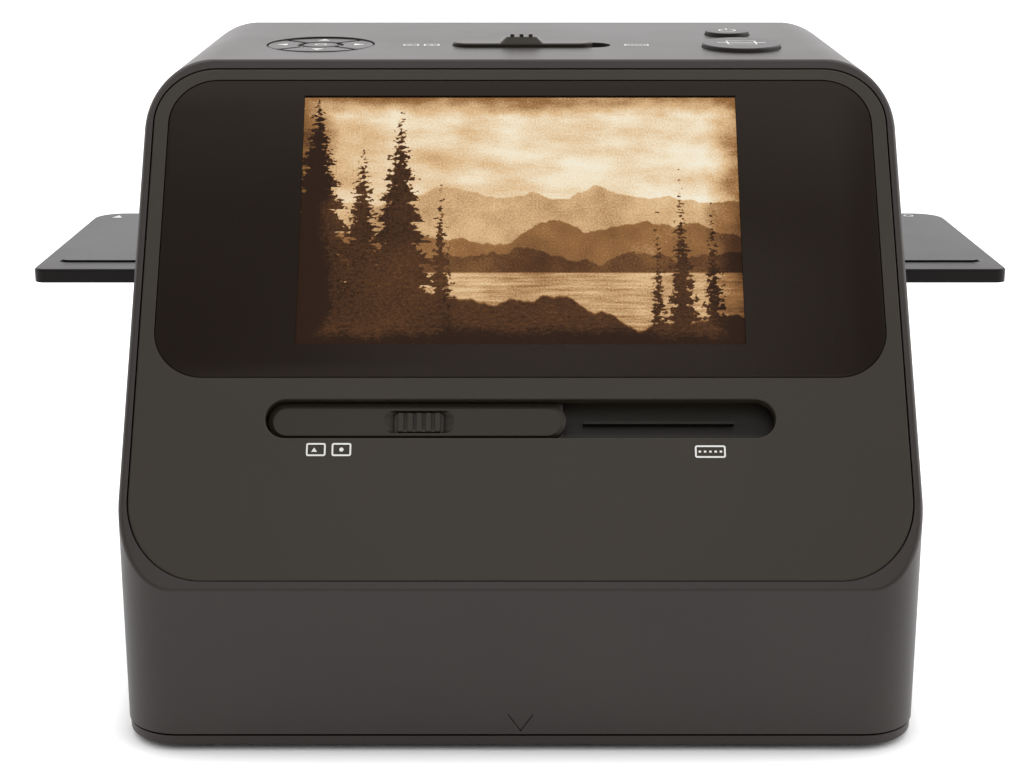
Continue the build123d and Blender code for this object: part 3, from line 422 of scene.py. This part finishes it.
def glossWindow():
    # glass printed black on its back, but for a clear field in front of the picture
    mat, n, l, bsdf = makeMaterial("glossWindow")
    mask = insidePicture(mat.node_tree, onSlope(mat.node_tree))
    seeThrough = arithmetic(mat.node_tree, "MULTIPLY_ADD", mask, window["ghost"] - 1, 1.0)
    l.new(seeThrough, bsdf.inputs["Alpha"])
    smear = n.new("ShaderNodeTexNoise")
    smear.inputs["Scale"].default_value = window["smearScale"]
    coord = n.new("ShaderNodeTexCoord")
    l.new(coord.outputs["Object"], smear.inputs["Vector"])
    rough = n.new("ShaderNodeMapRange")
    rough.inputs["To Min"].default_value = window["roughness"][0]
    rough.inputs["To Max"].default_value = window["roughness"][1]
    l.new(smear.outputs["Fac"], rough.inputs["Value"])
    l.new(rough.outputs[0], bsdf.inputs["Roughness"])
    bsdf.inputs["Base Color"].default_value = window["color"]
    bsdf.inputs["Specular IOR Level"].default_value = window["specular"]
    bsdf.inputs["Specular Tint"].default_value = window["sheen"]
    bsdf.inputs["IOR"].default_value = window["ior"]
    return mat


# The landscape. A mottle is a noise of this scale and detail, moved by offset and drawn out sideways by
# squeeze; it gives tones or heights from base up to base + swing. Heights run from -1 to 1 up the picture.
landscape = {
    "wide": 1.62,                  # how much wider than high the picture is
    "sky": {"scale": 1.6, "detail": 6, "offset": (3, 0, 0), "squeeze": 3.2, "swing": 0.62, "base": 0.50},
    "skyToRight": 0.07,            # the sky is paler towards the right
    "softLine": 0.012,
    "ridges": (                    # from far to near: the skyline and the mist that tones it
        {
            "line": {
                "scale": 1.1, "detail": 7, "offset": (0, 0, 2), "squeeze": 0,
                "swing": 0.75, "base": -0.2025,
            },
            "mist": {"scale": 7, "detail": 5, "offset": (0, 4, 1), "swing": 0.20, "base": 0.54},
        },
        {
            "line": {
                "scale": 1.5, "detail": 6, "offset": (5.3, 0, 3), "squeeze": 0,
                "swing": 0.70, "base": -0.405,
            },
            "mist": {"scale": 7, "detail": 5, "offset": (1, 4, 1), "swing": 0.20, "base": 0.34},
        },
        {
            "line": {
                "scale": 2.2, "detail": 5, "offset": (10.6, 0, 4), "squeeze": 0,
                "swing": 0.55, "base": -0.5525,
            },
            "mist": {"scale": 7, "detail": 5, "offset": (2, 4, 1), "swing": 0.20, "base": 0.16},
        },
    ),
    "lakeTop": -0.42,
    "lakeSoft": 0.01,
    "ripples": {"scale": 3.0, "detail": 5, "offset": (0, 0, 9), "squeeze": 14, "swing": 0.5, "base": 0.36},
    "shore": {"scale": 1.4, "detail": 8, "offset": (8, 0, 5), "squeeze": 0, "swing": 0.7, "base": -1.02},
    "shoreToRight": -0.16,         # the shore drops towards the right
    "shoreSoft": 0.02,
    "grass": {"scale": 22, "detail": 6, "offset": (0, 2, 3), "squeeze": 2.5, "swing": 0.42, "base": -0.06},
    "stains": {"scale": 2.4, "detail": 5, "offset": (0, 5, 4), "swing": 0.36, "base": -0.18},
    "grain": {"scale": 75, "detail": 2, "offset": (0, 0, 6), "swing": 0.34, "base": -0.17},
    "fray": {"scale": 6, "detail": 5, "offset": (2, 2, 2), "swing": 0.16, "base": -0.08},
    "burntFrom": 0.84,             # the edges darken from here outwards
    "burntOver": 0.2,
    "burntTone": -0.42,
    "tones": (                     # from the darkest to the palest
        (0.0, (0.024, 0.009, 0.003, 1)),
        (0.22, (0.105, 0.042, 0.014, 1)),
        (0.48, (0.34, 0.160, 0.053, 1)),
        (0.70, (0.80, 0.53, 0.275, 1)),
        (0.88, (0.98, 0.84, 0.61, 1)),
        (1.0, (1.0, 0.95, 0.80, 1)),
    ),
}
firs = {
    "trees": (                     # place across the picture, height of the top, spread
        (-0.93, 0.98, 0.24),
        (-0.72, 0.55, 0.19),
        (-0.55, 0.82, 0.21),
        (-0.36, 0.12, 0.14),
        (0.62, -0.18, 0.10),
        (0.73, 0.16, 0.13),
        (0.87, -0.04, 0.12),
    ),
    "foot": -0.86,
    "tiers": 6.5,                  # tiers of branches in a height of 1
    "tierDepth": (0.6, 0.5),       # reach at the top of a tier, and what it gains down to its foot
    "taper": 0.62,
    "jag": {"scale": 26, "detail": 4, "offset": (1, 1, 8), "squeeze": 1.6, "swing": 0.16, "base": -0.08},
    "needles": {"scale": 30, "detail": 6, "offset": (4, 7, 1), "squeeze": 1.4, "swing": 0.36, "base": -0.07},
    "softEdge": 0.012,
}


def sepiaPicture():
    # a warm brown landscape: pale sky, far ridges, a lake and dark firs, with darkened edges and grain
    mat, n, l, bsdf = makeMaterial("sepiaPicture")
    tree = mat.node_tree
    split = n.new("ShaderNodeSeparateXYZ")
    l.new(onSlope(tree), split.inputs[0])
    # u and v run from -1 to 1 across and up the picture
    u = arithmetic(tree, "DIVIDE", split.outputs["X"], display["half"][0])
    v = arithmetic(tree, "SUBTRACT", split.outputs["Y"], display["middle"])
    v = arithmetic(tree, "DIVIDE", v, display["half"][1])

    def mottle(look):
        x = arithmetic(tree, "MULTIPLY_ADD", u, landscape["wide"], look["offset"][0])
        y = arithmetic(tree, "MULTIPLY_ADD", v, look.get("squeeze", 1.0), look["offset"][1])
        place = n.new("ShaderNodeCombineXYZ")
        l.new(x, place.inputs["X"])
        l.new(y, place.inputs["Y"])
        place.inputs["Z"].default_value = look["offset"][2]
        noise = n.new("ShaderNodeTexNoise")
        noise.inputs["Scale"].default_value = look["scale"]
        noise.inputs["Detail"].default_value = look["detail"]
        l.new(place.outputs[0], noise.inputs["Vector"])
        return arithmetic(tree, "MULTIPLY_ADD", noise.outputs["Fac"], look["swing"], look["base"])

    def over(tone, cover, value):
        # paint value over tone where cover is 1
        difference = arithmetic(tree, "SUBTRACT", value, tone)
        return arithmetic(tree, "MULTIPLY_ADD", cover, difference, tone)

    def below(height, soft):
        # 1 under a height line, with a soft edge
        gap = arithmetic(tree, "SUBTRACT", height, v)
        return arithmetic(tree, "DIVIDE", gap, soft, clamp=True)

    def firShape(place, peak, spread, jag):
        # 1 on a fir: a cone of ragged tiers down to the foot
        drop = arithmetic(tree, "SUBTRACT", peak, v)
        tiers = arithmetic(tree, "FRACT", arithmetic(tree, "MULTIPLY", drop, firs["tiers"] + place))
        least, gain = firs["tierDepth"]
        reach = arithmetic(tree, "MULTIPLY", drop, spread * firs["taper"])
        reach = arithmetic(tree, "MULTIPLY", reach, arithmetic(tree, "MULTIPLY_ADD", tiers, gain, least))
        reach = arithmetic(tree, "ADD", reach, jag)
        aside = arithmetic(tree, "ABSOLUTE", arithmetic(tree, "SUBTRACT", u, place))
        inside = arithmetic(tree, "SUBTRACT", reach, aside)
        inside = arithmetic(tree, "DIVIDE", inside, firs["softEdge"], clamp=True)
        return arithmetic(tree, "MULTIPLY", inside, arithmetic(tree, "GREATER_THAN", v, firs["foot"]))

    tone = arithmetic(tree, "MULTIPLY_ADD", u, landscape["skyToRight"], mottle(landscape["sky"]))
    for ridge in landscape["ridges"]:
        cover = below(mottle(ridge["line"]), landscape["softLine"])
        tone = over(tone, cover, mottle(ridge["mist"]))
    tone = over(tone, below(landscape["lakeTop"], landscape["lakeSoft"]), mottle(landscape["ripples"]))
    shore = arithmetic(tree, "MULTIPLY_ADD", u, landscape["shoreToRight"], mottle(landscape["shore"]))
    tone = over(tone, below(shore, landscape["shoreSoft"]), mottle(landscape["grass"]))
    jag = mottle(firs["jag"])
    needles = mottle(firs["needles"])
    for place, peak, spread in firs["trees"]:
        tone = over(tone, firShape(place, peak, spread, jag), needles)
    # stains, grain and burnt edges of an old print
    wear = arithmetic(tree, "ADD", mottle(landscape["stains"]), mottle(landscape["grain"]))
    tone = arithmetic(tree, "ADD", tone, wear)
    edge = arithmetic(tree, "MAXIMUM", arithmetic(tree, "ABSOLUTE", u), arithmetic(tree, "ABSOLUTE", v))
    edge = arithmetic(tree, "ADD", edge, mottle(landscape["fray"]))
    edge = arithmetic(tree, "SUBTRACT", edge, landscape["burntFrom"])
    burnt = arithmetic(tree, "DIVIDE", edge, landscape["burntOver"], clamp=True)
    tone = arithmetic(tree, "MULTIPLY_ADD", burnt, landscape["burntTone"], tone)
    ramp = n.new("ShaderNodeValToRGB")
    darkest, palest = ramp.color_ramp.elements
    darkest.color = landscape["tones"][0][1]
    palest.color = landscape["tones"][-1][1]
    for position, color in landscape["tones"][1:-1]:
        ramp.color_ramp.elements.new(position).color = color
    l.new(tone, ramp.inputs["Fac"])
    lit = insidePicture(tree, onSlope(tree), display["spare"])
    shown = n.new("ShaderNodeMix")
    shown.data_type = "RGBA"
    shown.inputs["A"].default_value = display["black"]
    l.new(lit, shown.inputs["Factor"])
    l.new(ramp.outputs["Color"], shown.inputs["B"])
    l.new(shown.outputs["Result"], bsdf.inputs["Emission Color"])
    bsdf.inputs["Emission Strength"].default_value = display["glow"]
    bsdf.inputs["Base Color"].default_value = display["black"]
    bsdf.inputs["Roughness"].default_value = display["roughness"]
    bsdf.inputs["Specular IOR Level"].default_value = display["specular"]
    return mat


def clearLens():
    # coated glass: bluish from the front, greenish at a glance
    lens = {"roughness": 0.03, "ior": 1.6, "front": (0.75, 0.8, 1.0, 1), "side": (0.55, 0.75, 0.6, 1)}
    mat, n, l, bsdf = makeMaterial("clearLens")
    bsdf.inputs["Transmission Weight"].default_value = 1
    bsdf.inputs["Roughness"].default_value = lens["roughness"]
    bsdf.inputs["IOR"].default_value = lens["ior"]
    tint = n.new("ShaderNodeLayerWeight")
    color = n.new("ShaderNodeValToRGB")
    front, side = color.color_ramp.elements
    front.color = lens["front"]
    side.color = lens["side"]
    l.new(tint.outputs["Facing"], color.inputs["Fac"])
    l.new(color.outputs["Color"], bsdf.inputs["Base Color"])
    return mat


finishes["window_glass"] = glossWindow()
finishes["display_face"] = sepiaPicture()
finishes["lens_glass"] = clearLens()

for part in frame["record"]["subparts"]:
    node = nodes[part["node"]]
    node.data.materials.clear()
    node.data.materials.append(finishes[part["material_slot"]])
nodes["slider_track"].data.materials[0] = trackPlastic
print("finishes laid on", len(nodes), "nodes")


# the marks are drawn flat, in metres, before they are laid on their surface
line = 0.0004                      # width of a drawn outline
sharpCorner = 0.0001
boxCorner = 0.0005


def settle(x, y, turn=0.0, stretch=(1, 1, 1)):
    # stretch, turn and move the new piece in its own mesh
    piece = bpy.context.object
    piece.scale = stretch
    piece.rotation_euler = (0, 0, turn)
    piece.location = (x, y, 0)
    bpy.ops.object.transform_apply(location=True, rotation=True, scale=True)
    return piece


def roundCorners(radius, segments=3):
    bpy.ops.object.mode_set(mode="EDIT")
    bpy.ops.mesh.select_all(action="SELECT")
    bpy.ops.mesh.bevel(offset=radius, segments=segments, affect="VERTICES")
    bpy.ops.object.mode_set(mode="OBJECT")


def hollow(piece):
    # keep a band along the outline and open the middle
    bpy.ops.object.mode_set(mode="EDIT")
    bpy.ops.mesh.select_all(action="SELECT")
    bpy.ops.mesh.inset(thickness=line)
    bpy.ops.mesh.delete(type="FACE")
    bpy.ops.object.mode_set(mode="OBJECT")
    return piece


def bar(width, height, x, y, corner=sharpCorner):
    bpy.ops.object.select_all(action="DESELECT")
    bpy.ops.mesh.primitive_plane_add(size=1)
    piece = settle(x, y, 0.0, (width, height, 1))
    roundCorners(corner)
    return piece


def outlineBox(width, height, x, y):
    return hollow(bar(width, height, x, y, boxCorner))


def disc(radius, x, y):
    bpy.ops.object.select_all(action="DESELECT")
    bpy.ops.mesh.primitive_circle_add(vertices=40, radius=radius, fill_type="NGON")
    return settle(x, y)


def ring(radius, x, y):
    return hollow(disc(radius, x, y))


def arrow(radius, x, y, turn=0.0, stretch=1.0):
    # a triangle with softened corners
    bpy.ops.object.select_all(action="DESELECT")
    bpy.ops.mesh.primitive_circle_add(vertices=3, radius=radius, fill_type="NGON")
    piece = settle(x, y, turn, (1, stretch, 1))
    roundCorners(radius * 0.12)
    return piece


def printMarks(name, pieces, surface, bodyName):
    # flat pieces are joined, thickened a little and laid on their surface
    ink = {"thickness": 0.00004, "lift": 0.00001}
    bpy.ops.object.select_all(action="DESELECT")
    for piece in pieces:
        piece.select_set(True)
    bpy.context.view_layer.objects.active = pieces[0]
    if len(pieces) > 1:
        bpy.ops.object.join()
    mark = bpy.context.object
    mark.name = name
    bpy.ops.object.modifier_add(type="SOLIDIFY")
    solid = mark.modifiers[-1]
    solid.thickness = ink["thickness"]
    solid.offset = 1
    bpy.ops.object.modifier_apply(modifier=solid.name)
    mark.matrix_world = surface @ Matrix.Translation((0, 0, ink["lift"]))
    bpy.ops.object.transform_apply(location=True, rotation=True, scale=True)
    mark.data.materials.clear()
    mark.data.materials.append(printWhite)
    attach(mark, bodyName)


def onTop(x, t, height=0.0, tilt=0.0):
    # a place on the top: x across, t back from its front edge
    return topMatrix @ Matrix.Translation((x, t, height)) @ Matrix.Rotation(tilt, 4, "X")


def onFace(x, up):
    # a place on the sloping face
    return slopeMatrix @ Matrix.Translation((x, up, 0))


def keyMarks():
    nav = {
        "place": (-0.0528, 0.0265, -0.0001),   # the keys lie this little under the top
        "tilt": radians(-1.4),
        "out": 0.0098,                         # from the middle to each arrow
        "arrow": 0.0019,
        "ring": 0.0016,
    }
    power = {"place": (0.0571, 0.0451, 0.0011), "ring": 0.0024, "stem": (0.0005, 0.0022), "stemUp": 0.0021}
    scan = {"place": (0.0584, 0.0217, 0.0011), "page": (0.0078, 0.0062), "sweep": (0.0128, 0.0005)}
    pad = onTop(*nav["place"], nav["tilt"])
    size = nav["arrow"]
    out = nav["out"]
    printMarks("markUp", [arrow(size, 0, out)], pad, "nav_up")
    printMarks("markDown", [arrow(size, 0, -out, pi)], pad, "nav_down")
    printMarks("markLeft", [arrow(size, -out, 0, pi / 2)], pad, "nav_left")
    printMarks("markRight", [arrow(size, out, 0, -pi / 2)], pad, "nav_right")
    printMarks("markCentre", [ring(nav["ring"], 0, 0)], pad, "nav_centre")
    stem = bar(*power["stem"], 0, power["stemUp"])
    printMarks("markPower", [ring(power["ring"], 0, 0), stem], onTop(*power["place"]), "power_button")
    page = outlineBox(*scan["page"], 0, 0)
    sweep = bar(*scan["sweep"], 0, 0)
    printMarks("markScan", [page, sweep], onTop(*scan["place"]), "scan_button")


def labelMarks():
    # two prints beside the left end of each slide, a strip of film beside the right
    prints = {
        "size": (0.0046, 0.0032),
        "out": 0.0030,
        "hill": 0.0008,
        "hillAt": (-0.0034, -0.0002),
        "hillStretch": 0.9,
        "sun": 0.0005,
    }
    film = {"size": (0.0076, 0.0032), "hole": (0.0006, 0.0005), "pitch": 0.0013, "holes": 5}
    holeCorner = 0.00005

    def printSign(scale):
        width, height = [side * scale for side in prints["size"]]
        out = prints["out"] * scale
        hillX, hillY = [place * scale for place in prints["hillAt"]]
        return [
            outlineBox(width, height, -out, 0),
            arrow(prints["hill"] * scale, hillX, hillY, 0, prints["hillStretch"]),
            outlineBox(width, height, out, 0),
            disc(prints["sun"] * scale, out, 0),
        ]

    def filmSign(scale):
        width, height = [side * scale for side in film["size"]]
        holeWidth, holeHeight = [side * scale for side in film["hole"]]
        holes = []
        for i in range(film["holes"]):
            x = (i - (film["holes"] - 1) / 2) * film["pitch"] * scale
            holes.append(bar(holeWidth, holeHeight, x, 0, holeCorner))
        return [outlineBox(width, height, 0, 0)] + holes

    printMarks("labelPrints", printSign(1.0), onFace(-0.0450, 0.0336), "housing")
    printMarks("labelFilm", filmSign(0.95), onFace(0.0445, 0.0331), "housing")
    printMarks("labelTopPrints", printSign(0.9), onTop(-0.0260, 0.0250), "housing")
    printMarks("labelTopFilm", filmSign(0.85), onTop(0.0310, 0.0250), "housing")


def holderMarks():
    marks = {
        "arrow": (-0.1140, 0.0510),
        "arrowSize": 0.0017,
        "arrowStretch": 1.5,
        "ring": (0.1110, 0.0530),
        "ringSize": 0.0014,
    }
    lid = Matrix.Translation((0, 0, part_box("holder_lid")[1].z))
    pointer = arrow(marks["arrowSize"], *marks["arrow"], 0, marks["arrowStretch"])
    printMarks("holderArrow", [pointer], lid, "film_holder")
    printMarks("holderRing", [ring(marks["ringSize"], *marks["ring"])], lid, "film_holder")


def windowPane():
    # the pane is drawn anew in place of the plain CAD one, with a softened front edge
    pane = {
        "size": (0.1753, 0.0793),
        "corner": 0.012,
        "cornerSteps": 18,
        "middle": 0.09125,         # up the slope
        "back": -0.0012,           # its rear face, behind the slope
        "thickness": 0.0011,
        "edge": 0.00025,
        "edgeSteps": 3,
        "smooth": radians(40),
    }
    bpy.ops.object.select_all(action="DESELECT")
    bpy.ops.mesh.primitive_plane_add(size=1)
    glass = settle(0, 0, 0.0, (*pane["size"], 1))
    glass.name = "windowPane"
    roundCorners(pane["corner"], pane["cornerSteps"])
    bpy.ops.object.modifier_add(type="SOLIDIFY")
    solid = glass.modifiers[-1]
    solid.thickness = pane["thickness"]
    solid.offset = 1
    bpy.ops.object.modifier_apply(modifier=solid.name)
    for edge in glass.data.edges:
        ends = [glass.data.vertices[i].co.z for i in edge.vertices]
        edge.select = min(ends) > pane["thickness"] / 2
    bpy.ops.object.mode_set(mode="EDIT")
    bpy.ops.mesh.select_mode(type="EDGE")
    bpy.ops.mesh.bevel(offset=pane["edge"], segments=pane["edgeSteps"])
    bpy.ops.object.mode_set(mode="OBJECT")
    glass.matrix_world = slopeMatrix @ Matrix.Translation((0, pane["middle"], pane["back"]))
    bpy.ops.object.transform_apply(location=True, rotation=True, scale=True)
    bpy.ops.object.shade_smooth_by_angle(angle=pane["smooth"])
    glass.data.materials.append(finishes["window_glass"])
    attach(glass, "housing")
    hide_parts("display_window")


windowPane()
print("window pane cut")
keyMarks()
labelMarks()
holderMarks()
print("marks printed")
